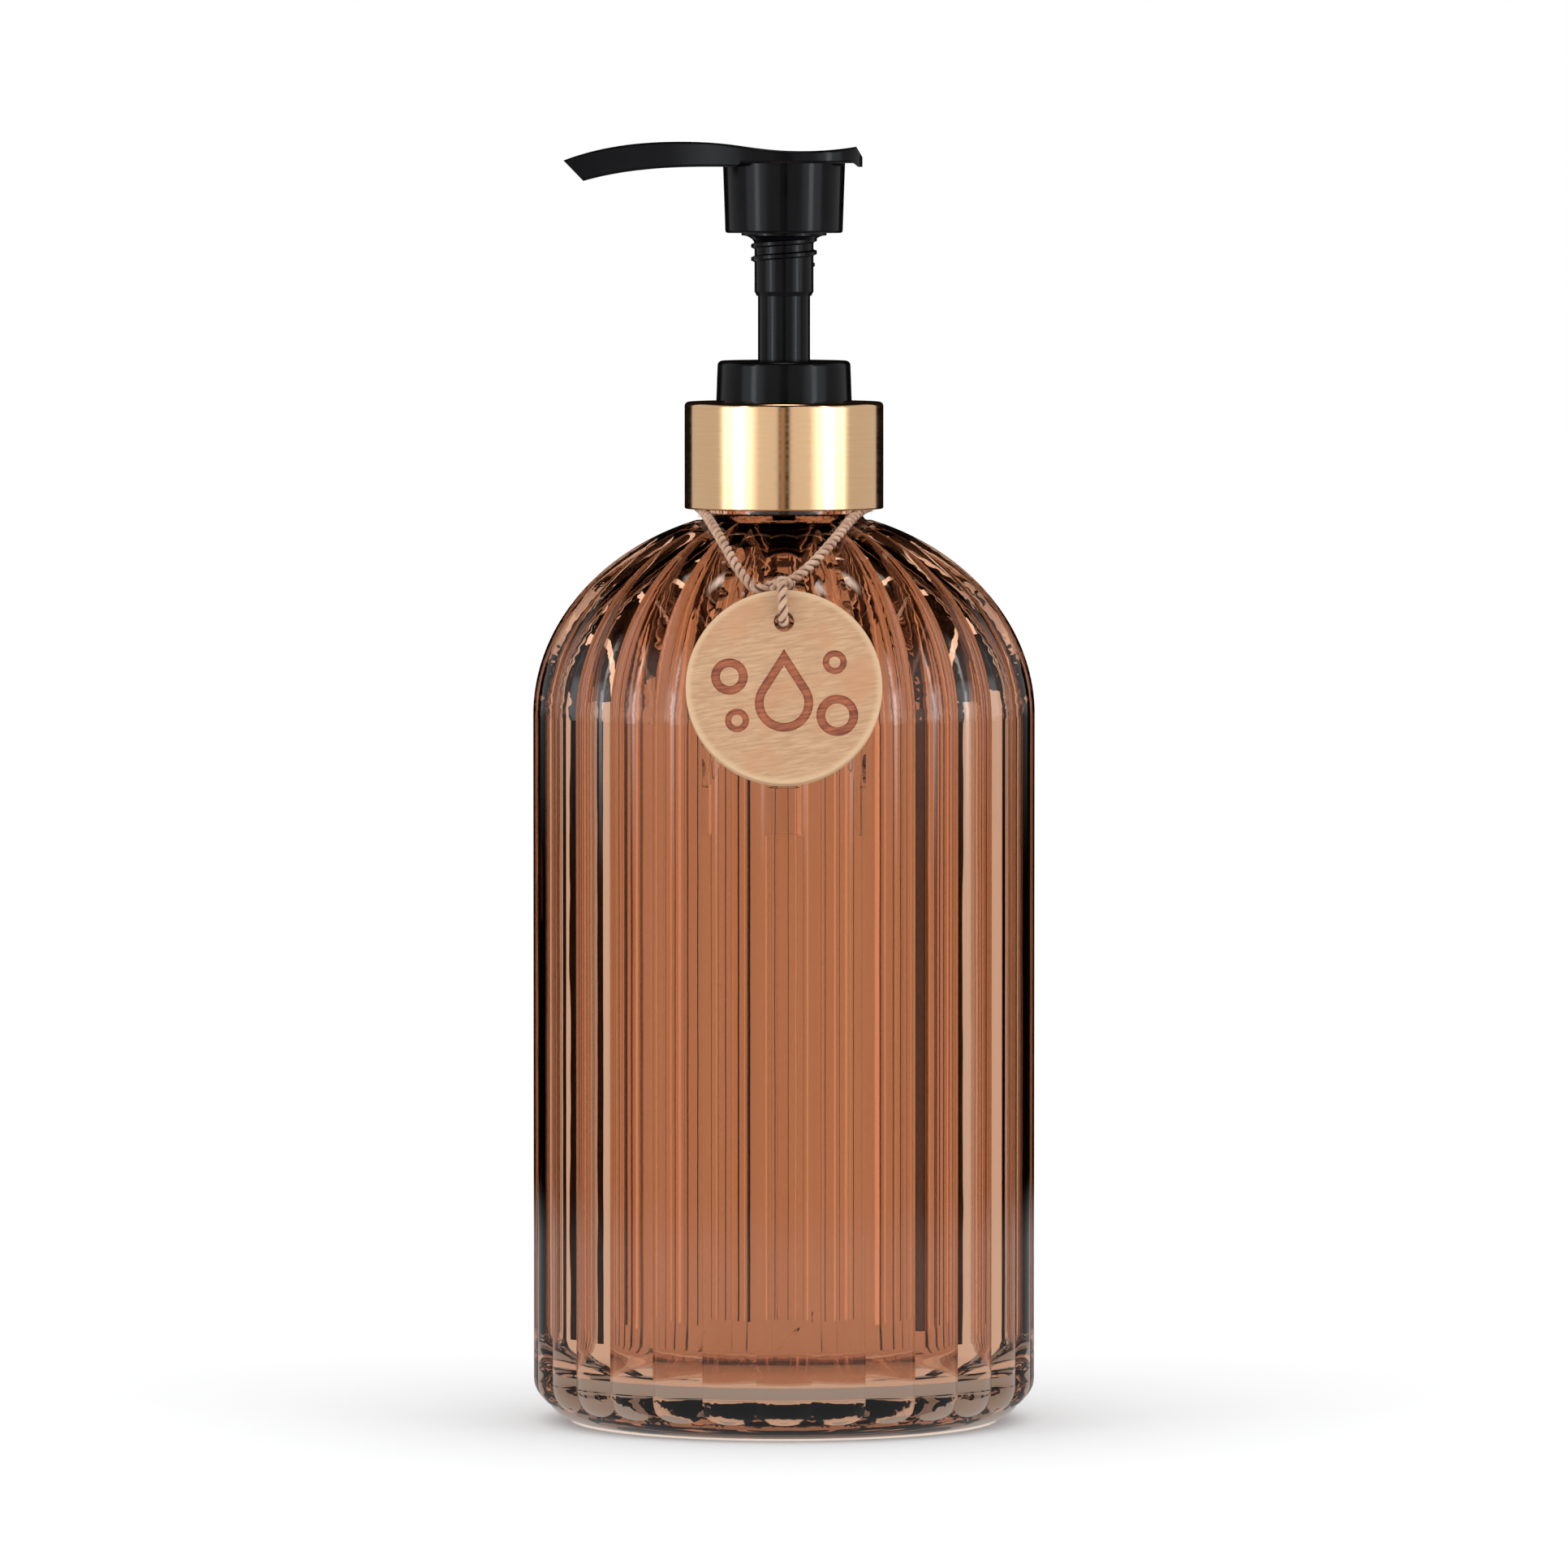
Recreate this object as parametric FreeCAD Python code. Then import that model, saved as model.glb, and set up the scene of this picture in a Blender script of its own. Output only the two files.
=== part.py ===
import FreeCAD, Part
import math
import os

# Soap pump dispenser: a ribbed glass bottle, its screw-on lotion pump, and a wooden tag on a twine.
# Millimetres. The origin is the centre of the bottle's foot, +Z is up, the spout points along -X
# and the tag hangs on the -Y side.

# ---- driving sizes: bottle ----
RIB_COUNT = 28
CREST_R = 40.4  # outside radius over the ribs
RIB_DEPTH = 1.25  # crest to groove, measured along a radius
RIB_END_R = 4.6  # rounding of a rib's lower end
RIB_END_Z = 2.3
SHOULDER_Z = 113.9  # where the straight side meets the dome
DOME_RISE = 33.5
FOOT_R = 32.0
HEEL_SET_IN = 2.1  # heel side inside the rib crests
HEEL_RISE = 4.5
GLASS_WALL = 2.6  # from a groove to the cavity
GLASS_FLOOR = 5.5
FLOOR_BULGE = 2.5
CAVITY_CORNER = 9.0
DOME_WALL = 3.5
FOOT_RING = 2.6  # width of the flat ring that the bottle stands on
PUNT = 2.4  # height of the hollow under the foot

# ---- driving sizes: neck finish, thread and collar ----
NECK_HEIGHT = 12.4  # dome top to rim
NECK_WALL = 3.4
NECK_THREAD_RISE = 1.1  # thread crest outside the neck
NECK_ROOT_FILLET = 1.9  # the ribs stop at its foot
NECK_PITCH = 4.2333  # six turns per inch
NECK_TURNS = 1.25
THREAD_PLAY = 0.35  # radial, neck thread crest to liner root
RIDGE_BASE = 2.3
RIDGE_CREST = 1.1
GASKET = 1.0
FLANGE = 1.5
FLANGE_OVER = 0.3  # flange radius past the neck's
LINER_WALL = 1.45
COLLAR_SKIRT = 12.7  # how far the collar hangs below the rim
SHELL_WALL = 0.5
LINER_PLATE = 1.3
LINER_SHORT = 2.6  # the liner ends this far above the shell's edge, so the twine has room
AXIAL_PLAY = 0.2
THREAD_START = 20.0  # degrees round from +X

# ---- driving sizes: pump ----
STEM_R = 4.2
STEM_BORE_R = 2.6
STEM_STOP = 1.2  # radial height of the stem's stop collar
RUNNING = 0.06  # radial clearance of what slides or turns on a round face
STROKE = 14.5
LOST_MOTION = 1.2
SLEEVE_WALL = 0.9  # cap sleeve round the lock thread
BARREL_WALL = 1.0
BARREL_PLAY = 1.7  # barrel to the neck's bore
HUB_WALL = 1.9
HUB_RISE = 5.2
CAP_WALL = 1.9  # outside the hub
CAP_STEP = 0.6  # cap's foot outside its neck
CAP_DRAFT = 0.2
CAP_HEIGHT = 6.4
GUIDE_DEPTH = 3.8  # guide's lower end below the rim
GUIDE_LENGTH = 4.8
SEAL_HEIGHT = 1.5
STOP_TO_FOOT = 5.8  # stem's stop collar down to its lower end
PISTON_HEIGHT = 7.5
PISTON_WALL = 0.9
SPRING_WIRE_R = 0.45
SPRING_TURNS = 8
SPRING_SHUT = 11.9  # spring's length at the foot of the stroke
SPRING_INSET = 1.45  # barrel bore to the outside of the coils
CAGE_HEIGHT = 2.0
BALL_R = 2.5
BALL_LIFT = 1.5
INLET_R = 1.5
SOCKET_DEPTH = 7.7
SOCKET_WALL = 1.2
TUBE_R = 3.5
TUBE_BORE_R = 2.7
TUBE_OFF_FLOOR = 2.0
TUBE_CUT = 35.0  # slant of the tube's lower end, degrees

# ---- driving sizes: head ----
HEAD_WALL = 0.55  # threaded sleeve round the stem
LOCK_RIDGE = 0.55
LOCK_PITCH = 2.1
LOCK_LENGTH = 5.2
LOCK_TURNS = 2.0
LOCK_PLAY = 0.1
CORE_WALL = 1.55  # head's core outside the lock thread
SKIRT_GAP = 1.3  # core to the inside of the skirt
SKIRT_WALL = 1.3
SKIRT_DRAFT = 0.4
SKIRT_HEIGHT = 11.2
SLEEVE_LENGTH = 10.1  # below the skirt
LIP_DROP = 0.6
LEVER_EDGE_R = 0.4
SPOUT_BORE_R = 1.25

# ---- driving sizes: twine and tag ----
TWINE_R = 0.75
TAG_R = 15.5
TAG_THICKNESS = 3.0
TAG_HOLE_R = 1.6
TAG_HOLE_UP = 10.4  # hole's centre above the tag's centre
TAG_UP = 5.7  # tag's centre above the shoulder
TAG_OFF = 0.45  # its back face off the rib crests
MARK_DEPTH = 0.35
KNOT_R = 1.6
KNOT_UP = 20.8  # where the knot rests on the dome, above the shoulder
KNOT_OFF = 0.45
KNOT_X = -0.6
KNOT_LENGTH = 4.2

# The twine's route from the knot round the back of the neck and back to the knot.
NECK_TWINE = [
    (-1.7, -33.2, 136.1),
    (-3.9, -33.0, 135.3),
    (-6.0, -31.0, 136.6),
    (-7.9, -27.6, 139.2),
    (-10.0, -21.2, 142.8),
    (-11.7, -15.6, 144.9),
    (-12.9, -9.6, 145.95),
    (-14.1, -3.6, 146.4),
    (-13.4, 5.0, 146.6),
    (-8.6, 11.4, 146.6),
    (-0.6, 14.4, 146.6),
    (7.9, 11.9, 146.6),
    (13.2, 5.6, 146.6),
    (14.2, -2.0, 146.5),
    (12.9, -8.6, 146.05),
    (11.0, -14.0, 145.6),
    (8.7, -20.4, 143.5),
    (6.1, -26.0, 140.8),
    (3.4, -30.2, 138.1),
    (0.9, -32.7, 136.5),
]
# The loop from the knot, over the tag's rim, through its hole and up behind it.
TAG_LOOP = [
    (-0.5, -35.1, 136.2),
    (-0.4, -37.7, 137.0),
    (-0.3, -40.9, 136.3),
    (-0.2, -42.5, 133.6),
    (-0.1, -42.4, 130.8),
    (0.0, -38.8, 129.9),
    (-0.3, -36.4, 130.3),
    (-0.7, -35.6, 132.3),
    (-0.8, -34.3, 134.2),
]

# ---- radii that follow ----
SLEEVE_R = STEM_R + HEAD_WALL
LOCK_CREST_R = SLEEVE_R + LOCK_RIDGE
LOCK_CAP_BORE_R = LOCK_CREST_R + LOCK_PLAY
LOCK_CAP_CREST_R = SLEEVE_R + 2 * LOCK_PLAY
CAP_SLEEVE_R = LOCK_CAP_BORE_R + SLEEVE_WALL
BARREL_BORE_R = CAP_SLEEVE_R + 0.2
BARREL_R = BARREL_BORE_R + BARREL_WALL
HUB_R = BARREL_BORE_R + HUB_WALL
CAP_NECK_R = HUB_R + CAP_WALL
CAP_R = CAP_NECK_R + CAP_STEP
CORE_R = LOCK_CREST_R + CORE_WALL
SKIRT_FOOT_R = CORE_R + SKIRT_GAP + SKIRT_WALL
SKIRT_TOP_R = SKIRT_FOOT_R + SKIRT_DRAFT
SPRING_R = BARREL_BORE_R - SPRING_INSET - SPRING_WIRE_R  # to the middle of the wire
SPIGOT_R = SPRING_R - SPRING_WIRE_R - 0.25  # what centres the spring inside
NECK_BORE_R = BARREL_R + BARREL_PLAY
NECK_R = NECK_BORE_R + NECK_WALL
NECK_THREAD_R = NECK_R + NECK_THREAD_RISE
DOME_END_R = NECK_R + NECK_ROOT_FILLET
LINER_BORE_R = NECK_THREAD_R + THREAD_PLAY
LINER_R = LINER_BORE_R + LINER_WALL
COLLAR_R = LINER_R + SHELL_WALL
FLANGE_R = NECK_R + FLANGE_OVER

# ---- heights that follow, from the foot up and from the rim down ----
DOME_TOP = SHOULDER_Z + DOME_RISE
RIM = DOME_TOP + NECK_HEIGHT
NECK_THREAD_Z = RIM - 2.2 - NECK_PITCH * NECK_TURNS
FLANGE_Z = RIM + GASKET
FLANGE_TOP = FLANGE_Z + FLANGE
COLLAR_TOP = FLANGE_TOP + AXIAL_PLAY + LINER_PLATE + SHELL_WALL
COLLAR_FOOT = RIM - COLLAR_SKIRT
LINER_FOOT = COLLAR_FOOT + LINER_SHORT
CAP_FOOT = COLLAR_TOP + AXIAL_PLAY
CAP_TOP = CAP_FOOT + CAP_HEIGHT
HUB_TOP = FLANGE_TOP + HUB_RISE
GUIDE_FOOT = RIM - GUIDE_DEPTH
GUIDE_TOP = GUIDE_FOOT + GUIDE_LENGTH
SEAL_FOOT = GUIDE_FOOT - SEAL_HEIGHT
STOP_TOP = SEAL_FOOT - AXIAL_PLAY
STEM_FOOT = STOP_TOP - STOP_TO_FOOT
PISTON_TOP = STEM_FOOT - LOST_MOTION - 0.1
PISTON_FOOT = PISTON_TOP - PISTON_HEIGHT
VALVE_TOP = PISTON_FOOT - 0.1
SPRING_TOP = VALVE_TOP - 2.0
CAGE_TOP = SPRING_TOP - STROKE - SPRING_SHUT
CAGE_FOOT = CAGE_TOP - CAGE_HEIGHT
BALL_Z = CAGE_FOOT - BALL_LIFT - BALL_R - 0.15
INLET_Z = BALL_Z - 0.02 - BALL_R * math.sqrt(2) + INLET_R  # foot of the 45 degree ball seat
SOCKET_TOP = INLET_Z - 0.8
SOCKET_FOOT = SOCKET_TOP - SOCKET_DEPTH
TUBE_FOOT_Z = GLASS_FLOOR + FLOOR_BULGE + TUBE_OFF_FLOOR
LOCK_FOOT = CAP_TOP + STROKE + 0.3  # the head's thread starts here
SKIRT_FOOT = LOCK_FOOT + LOCK_LENGTH + 0.5
SKIRT_TOP = SKIRT_FOOT + SKIRT_HEIGHT
SLEEVE_FOOT = SKIRT_FOOT - SLEEVE_LENGTH
STEM_TOP = SKIRT_FOOT + 2.0
UP = FreeCAD.Vector(0, 0, 1)


def off_dome(up, off):
    """(radius, z, tilt in degrees) of a point that stands off the dome, from its height above the shoulder."""
    t = math.asin(up / DOME_RISE)
    tilt = math.atan2(math.sin(t) / DOME_RISE, math.cos(t) / CREST_R)
    radius = CREST_R * math.cos(t) + off * math.cos(tilt)
    return radius, SHOULDER_Z + up + off * math.sin(tilt), math.degrees(tilt)


# ---- drawing helpers ----
def vec(x, y, z):
    return FreeCAD.Vector(x, y, z)


class Round:
    """A quarter of an ellipse in an outline, from the point before, round a corner, to an end."""

    def __init__(self, corner, end):
        self.corner = corner
        self.end = end


def outline(steps):
    """Edges of a closed outline of (radius, height) points in the XZ plane."""
    edges = []
    here = steps[0]
    for step in [*steps[1:], steps[0]]:
        end = step.end if isinstance(step, Round) else step
        a, b = vec(here[0], 0, here[1]), vec(end[0], 0, end[1])
        if isinstance(step, Round):
            curve = Part.BezierCurve()
            curve.setPoles([a, vec(step.corner[0], 0, step.corner[1]), b])
            curve.setWeight(2, math.sqrt(0.5))
            edges.append(curve.toShape())
        elif a.distanceToPoint(b) > 1e-6:
            edges.append(Part.LineSegment(a, b).toShape())
        here = end
    return edges


def lathe(steps):
    """Solid turned about Z from a closed outline."""
    face = Part.Face(Part.Wire(outline(steps)))
    return face.revolve(vec(0, 0, 0), UP, 360)


def rod(radius, low, high, x=0.0, y=0.0):
    return Part.makeCylinder(radius, high - low, vec(x, y, low))


def ring(inner, outer, low, high):
    return rod(outer, low, high).cut(rod(inner, low - 1, high + 1))


def swept(helix, profile):
    """Solid swept along a helix about Z, its section kept upright."""
    sweep = Part.BRepOffsetAPI.MakePipeShell(Part.Wire(helix))
    sweep.setBiNormalMode(UP)
    sweep.add(profile)
    sweep.build()
    sweep.makeSolid()
    return sweep.shape()


def ridge(root_r, crest_r, base, crest, pitch, turns, low, lead=0.0):
    """Helical thread ridge: base wide at root_r and crest wide at crest_r. Its whole helix climbs
    from low, and the ridge itself begins lead turns up it."""
    helix = Part.makeHelix(pitch, pitch * turns, root_r)
    corners = [
        vec(root_r, 0, -base / 2),
        vec(crest_r, 0, -crest / 2),
        vec(crest_r, 0, crest / 2),
        vec(root_r, 0, base / 2),
    ]
    thread = swept(helix, Part.makePolygon([*corners, corners[0]]))
    thread.rotate(vec(0, 0, 0), UP, THREAD_START + 360 * lead)
    thread.translate(vec(0, 0, low + pitch * lead))
    return thread


def tangent_path(points):
    """Straight runs joined by tangent arcs as large as the runs allow, and the smallest radius."""
    points = [vec(*p) for p in points]
    edges, radii = [], []
    here = points[0]
    for before, corner, after in zip(points, points[1:], points[2:]):
        into, out = corner - before, after - corner
        reach = 0.45 * min(into.Length, out.Length)
        into.normalize()
        out.normalize()
        half_turn = into.getAngle(out) / 2
        radius = reach / math.tan(half_turn)
        radii.append(radius)
        start, end = corner - into * reach, corner + out * reach
        inwards = out - into
        inwards.normalize()
        middle = corner + inwards * (radius / math.cos(half_turn) - radius)
        edges.append(Part.LineSegment(here, start).toShape())
        edges.append(Part.Arc(start, middle, end).toShape())
        here = end
    edges.append(Part.LineSegment(here, points[-1]).toShape())
    return Part.Wire(edges), radii


def tube(name, points, radius):
    """Round cord along a route, with its arcs' radii and its volume against section times length."""
    path, radii = tangent_path(points)
    along = vec(*points[1]) - vec(*points[0])
    profile = Part.Wire(Part.makeCircle(radius, vec(*points[0]), along))
    solid = path.makePipeShell([profile], True, False)
    share = solid.Volume / (math.pi * radius**2 * path.Length)
    print(f"{name}: length {path.Length:.1f}, radii", [round(r, 1) for r in radii], f"volume {share:.3f}")
    return solid


# ---- bottle ----
def rib_band(levels, weights):
    """One rib between two heights as an exact patch. levels are the control (radius, height) points
    of the crest's profile, and the rib's arc is scaled with the radius."""
    half = math.pi / RIB_COUNT
    groove_r = CREST_R - RIB_DEPTH
    half_chord = groove_r * math.sin(half)
    sagitta = CREST_R - groove_r * math.cos(half)
    arc_r = (half_chord**2 + sagitta**2) / (2 * sagitta)
    slope = math.asin(half_chord / arc_r)
    across = [
        (groove_r * math.cos(half), -half_chord, 1.0),
        (CREST_R - arc_r + arc_r / math.cos(slope), 0.0, math.cos(slope)),
        (groove_r * math.cos(half), half_chord, 1.0),
    ]
    poles = []
    pole_weights = []
    for x, y, w in across:
        poles.append([vec(x * r / CREST_R, y * r / CREST_R, z) for r, z in levels])
        pole_weights.append([w * v for v in weights])
    degree = len(levels) - 1
    patch = Part.BSplineSurface()
    patch.buildFromPolesMultsKnots(
        poles, [3, 3], [degree + 1] * 2, [0, 1], [0, 1], False, False, 2, degree, pole_weights
    )
    return patch.toShape()


def turned(shape, count):
    """Copies of a shape turned evenly about Z."""
    copies = []
    for i in range(count):
        copy = shape.copy()
        copy.rotate(vec(0, 0, 0), UP, 360.0 * i / count)
        copies.append(copy)
    return copies


def ribbed_body():
    """The bottle's ribbed outside, closed flat at the top of the dome and under the rib ends."""
    side_foot = RIB_END_Z + RIB_END_R
    end = math.acos(DOME_END_R / CREST_R)
    dome = [
        (CREST_R, SHOULDER_Z),
        (CREST_R, SHOULDER_Z + DOME_RISE * math.tan(end / 2)),
        (DOME_END_R, SHOULDER_Z + DOME_RISE * math.sin(end)),
    ]
    side = [(CREST_R, side_foot), (CREST_R, SHOULDER_Z)]
    heel = [(CREST_R - RIB_END_R, RIB_END_Z), (CREST_R, RIB_END_Z), (CREST_R, side_foot)]
    bands = [
        rib_band(heel, [1, math.sqrt(0.5), 1]),
        rib_band(side, [1, 1]),
        rib_band(dome, [1, math.cos(end / 2), 1]),
    ]
    faces = [face for band in bands for face in turned(band, RIB_COUNT)]
    for band, height in ((bands[0], RIB_END_Z), (bands[2], dome[2][1])):
        rim = [e for e in band.Edges if abs(e.BoundBox.ZMin - height) + abs(e.BoundBox.ZMax - height) < 1e-4]
        loop = [e for edge in rim for e in turned(edge, RIB_COUNT)]
        faces.append(Part.Face(Part.Wire(Part.__sortEdges__(loop))))
    shell = Part.makeShell(faces)
    shell.sewShape()
    body = Part.makeSolid(shell)
    if body.Volume < 0:
        body.reverse()
    return body


def bottle():
    heel_r = CREST_R - HEEL_SET_IN
    heel = lathe([
        (0, 0),
        (FOOT_R, 0),
        Round((heel_r, 0), (heel_r, HEEL_RISE)),
        (heel_r, HEEL_RISE + 6),
        (0, HEEL_RISE + 6),
    ])
    dome_end_z = SHOULDER_Z + DOME_RISE * math.sqrt(1 - (DOME_END_R / CREST_R) ** 2)
    root_z = dome_end_z - 0.3
    neck = lathe([
        (0, dome_end_z - 4),
        (NECK_R + NECK_ROOT_FILLET, dome_end_z - 4),
        (NECK_R + NECK_ROOT_FILLET, root_z),
        Round((NECK_R, root_z), (NECK_R, root_z + 1.6)),
        (NECK_R, RIM - 0.8),
        Round((NECK_R, RIM), (NECK_R - 0.8, RIM)),
        (0, RIM),
    ])
    thread = ridge(NECK_R - 0.2, NECK_THREAD_R, RIDGE_BASE, RIDGE_CREST, NECK_PITCH, NECK_TURNS, NECK_THREAD_Z)
    cavity_r = CREST_R - RIB_DEPTH - GLASS_WALL
    cavity_top = DOME_TOP - DOME_WALL
    cavity = lathe([
        (0, GLASS_FLOOR + FLOOR_BULGE),
        Round((CAVITY_CORNER * 1.5, GLASS_FLOOR + FLOOR_BULGE), (cavity_r - CAVITY_CORNER, GLASS_FLOOR)),
        Round((cavity_r, GLASS_FLOOR), (cavity_r, GLASS_FLOOR + CAVITY_CORNER)),
        (cavity_r, SHOULDER_Z),
        Round((cavity_r, cavity_top), (0, cavity_top)),
    ])
    bore = rod(NECK_BORE_R, SHOULDER_Z, RIM + 1)
    hollow = FOOT_R - FOOT_RING
    punt = lathe([(0, -1), (hollow, -1), (hollow, 0), Round((hollow * 0.6, PUNT), (0, PUNT))])
    glass = ribbed_body().fuse([heel, neck.fuse(thread)])
    return glass.cut([cavity, bore, punt])


# ---- collar ----
def collar_shell():
    return lathe([
        (LINER_R, COLLAR_FOOT + 0.15),
        Round((LINER_R, COLLAR_FOOT), (LINER_R + 0.15, COLLAR_FOOT)),
        (COLLAR_R - 0.25, COLLAR_FOOT),
        Round((COLLAR_R, COLLAR_FOOT), (COLLAR_R, COLLAR_FOOT + 0.25)),
        (COLLAR_R, COLLAR_TOP - 0.7),
        Round((COLLAR_R, COLLAR_TOP), (COLLAR_R - 0.7, COLLAR_TOP)),
        (CAP_NECK_R + 0.3, COLLAR_TOP),
        (CAP_NECK_R + 0.3, COLLAR_TOP - SHELL_WALL),
        (LINER_R - 0.3, COLLAR_TOP - SHELL_WALL),
        (LINER_R, COLLAR_TOP - SHELL_WALL - 0.3),
    ])


def collar_liner():
    top = COLLAR_TOP - SHELL_WALL
    body = lathe([
        (LINER_BORE_R + 0.5, LINER_FOOT),
        (LINER_R, LINER_FOOT),
        (LINER_R, top - 0.3),
        (LINER_R - 0.3, top),
        (CAP_NECK_R + 0.3, top),
        (CAP_NECK_R + 0.3, top - LINER_PLATE),
        (LINER_BORE_R, top - LINER_PLATE),
        (LINER_BORE_R, LINER_FOOT + 0.5),
    ])
    crest_r = NECK_R + THREAD_PLAY
    low = NECK_THREAD_Z - NECK_PITCH / 2
    thread = ridge(LINER_BORE_R + 0.2, crest_r, RIDGE_BASE - 0.3, RIDGE_CREST - 0.2, NECK_PITCH, 1.3, low, 0.3)
    return body.fuse(thread)


# ---- pump, from the rim down ----
def neck_gasket():
    return lathe([
        (BARREL_R + 0.4, RIM),
        (NECK_R, RIM),
        (NECK_R, FLANGE_Z),
        (BARREL_R + 0.4, FLANGE_Z),
    ])


def pump_housing():
    socket_r = TUBE_R + SOCKET_WALL
    seat_r = BALL_R + 1.0
    body = lathe([
        (TUBE_R, SOCKET_FOOT),
        (socket_r - 0.3, SOCKET_FOOT),
        (socket_r, SOCKET_FOOT + 0.3),
        (socket_r, SOCKET_TOP + 0.4),
        (BARREL_R, SOCKET_TOP + 0.4 + BARREL_R - socket_r),
        (BARREL_R, FLANGE_Z),
        (FLANGE_R, FLANGE_Z),
        (FLANGE_R, FLANGE_TOP),
        (HUB_R, FLANGE_TOP),
        (HUB_R, HUB_TOP - 0.5),
        (HUB_R - 0.5, HUB_TOP),
        (BARREL_BORE_R, HUB_TOP),
        (BARREL_BORE_R, CAGE_FOOT - 1.0),
        (seat_r, INLET_Z + seat_r - INLET_R),
        (INLET_R, INLET_Z),
        (INLET_R, SOCKET_TOP),
        (TUBE_R, SOCKET_TOP),
    ])
    vent_z = STEM_FOOT + 2.0
    vent = Part.makeCylinder(0.7, BARREL_R * 2, vec(0, 0, vent_z), vec(0, 1, 0))
    return body.cut(vent)


def housing_cap():
    crown = 0.8
    body = lathe([
        (HUB_R, FLANGE_TOP),
        (CAP_NECK_R, FLANGE_TOP),
        (CAP_NECK_R, CAP_FOOT),
        (CAP_R, CAP_FOOT),
        (CAP_R - CAP_DRAFT, CAP_TOP - crown),
        Round((CAP_R - CAP_DRAFT, CAP_TOP), (CAP_R - CAP_DRAFT - crown, CAP_TOP)),
        (LOCK_CAP_BORE_R + 0.5, CAP_TOP),
        (LOCK_CAP_BORE_R, CAP_TOP - 0.5),
        (LOCK_CAP_BORE_R, GUIDE_TOP + 0.8),
        (STEM_R + RUNNING, GUIDE_TOP),
        (STEM_R + RUNNING, GUIDE_FOOT + 0.4),
        (STEM_R + RUNNING + 0.4, GUIDE_FOOT),
        (CAP_SLEEVE_R, GUIDE_FOOT),
        (CAP_SLEEVE_R, HUB_TOP + 0.1),
        (HUB_R, HUB_TOP + 0.1),
    ])
    low = CAP_TOP - 0.9 - LOCK_PITCH * 1.5
    thread = ridge(LOCK_CAP_BORE_R + 0.1, LOCK_CAP_CREST_R, 0.95, 0.5, LOCK_PITCH, 1.5, low)
    return body.fuse(thread)


def stem_seal():
    return ring(STEM_R + RUNNING, BARREL_BORE_R, SEAL_FOOT, GUIDE_FOOT)


def ball_cage():
    plate = rod(BARREL_BORE_R, CAGE_FOOT, CAGE_TOP)
    locator = ring(SPIGOT_R - 0.75, SPIGOT_R, CAGE_TOP, CAGE_TOP + 1.6)
    hole = rod(0.75, CAGE_FOOT - 1, CAGE_TOP + 1, x=2.15)
    return plate.fuse(locator).cut(turned(hole, 5))


def inlet_ball():
    return Part.makeSphere(BALL_R, vec(0, 0, BALL_Z))


def return_spring():
    low, high = CAGE_TOP + SPRING_WIRE_R + 0.02, SPRING_TOP - SPRING_WIRE_R - 0.02
    helix = Part.makeHelix((high - low) / SPRING_TURNS, high - low, SPRING_R)
    wire = Part.Wire(Part.makeCircle(SPRING_WIRE_R, vec(SPRING_R, 0, 0), vec(0, 1, 0)))
    spring = swept(helix, wire)
    spring.translate(vec(0, 0, low))
    return spring


def dip_tube():
    pipe = ring(TUBE_BORE_R, TUBE_R, TUBE_FOOT_Z, SOCKET_TOP)
    wedge = Part.makeBox(20, 20, 10, vec(-10, -10, -10))
    wedge.rotate(vec(0, 0, 0), vec(0, 1, 0), TUBE_CUT)
    wedge.translate(vec(0, 0, TUBE_FOOT_Z + TUBE_R * math.tan(math.radians(TUBE_CUT))))
    return pipe.cut(wedge)


def pump_stem():
    return lathe([
        (STEM_BORE_R, STEM_FOOT),
        (STEM_R, STEM_FOOT),
        (STEM_R, STOP_TOP - 1.3),
        (STEM_R + STEM_STOP, STOP_TOP - 1.3),
        (STEM_R + STEM_STOP, STOP_TOP - 0.3),
        (STEM_R + STEM_STOP - 0.3, STOP_TOP),
        (STEM_R, STOP_TOP),
        (STEM_R, STEM_TOP - 0.4),
        (STEM_R - 0.4, STEM_TOP),
        (STEM_BORE_R, STEM_TOP),
    ])


def stem_plug():
    rod_r = STEM_BORE_R - 0.7
    seat_r = SPRING_R + SPRING_WIRE_R + 0.25
    body = lathe([
        (0, SPRING_TOP - 2.2),
        (SPIGOT_R - 0.4, SPRING_TOP - 2.2),
        (SPIGOT_R, SPRING_TOP - 1.8),
        (SPIGOT_R, SPRING_TOP),
        (seat_r, SPRING_TOP),
        (seat_r, VALVE_TOP - 0.7),
        (seat_r - 0.9, VALVE_TOP),
        (rod_r, VALVE_TOP),
        (rod_r, STEM_FOOT + 11.0),
        (rod_r - 0.5, STEM_FOOT + 11.5),
        (0, STEM_FOOT + 11.5),
    ])
    fin = Part.makeBox(STEM_BORE_R, 0.9, 9.5, vec(0, -0.45, STEM_FOOT + 0.8))
    fins = Part.makeCompound(turned(fin, 3)).common(rod(STEM_BORE_R, STEM_FOOT, STEM_FOOT + 12))
    return body.fuse(fins.Solids)


def piston():
    """Sleeve with a lip at each end; the inner land closes on the stem plug's valve face."""
    bore_r = STEM_BORE_R + 0.3
    lip_r = BARREL_BORE_R - RUNNING
    wall_r = lip_r - PISTON_WALL
    land_r = wall_r - 1.1
    root_r = (land_r + lip_r - 0.5) / 2
    foot, top = PISTON_FOOT, PISTON_TOP
    return lathe([
        (bore_r, foot),
        (land_r, foot),
        (root_r, foot + 1.5),
        (lip_r - 0.5, foot),
        (lip_r, foot),
        (lip_r, foot + 1.2),
        (wall_r, foot + 2.7),
        (wall_r, top - 2.7),
        (lip_r, top - 1.2),
        (lip_r, top),
        (lip_r - 0.5, top),
        (root_r, top - 1.5),
        (land_r, top),
        (bore_r, top),
    ])


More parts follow.
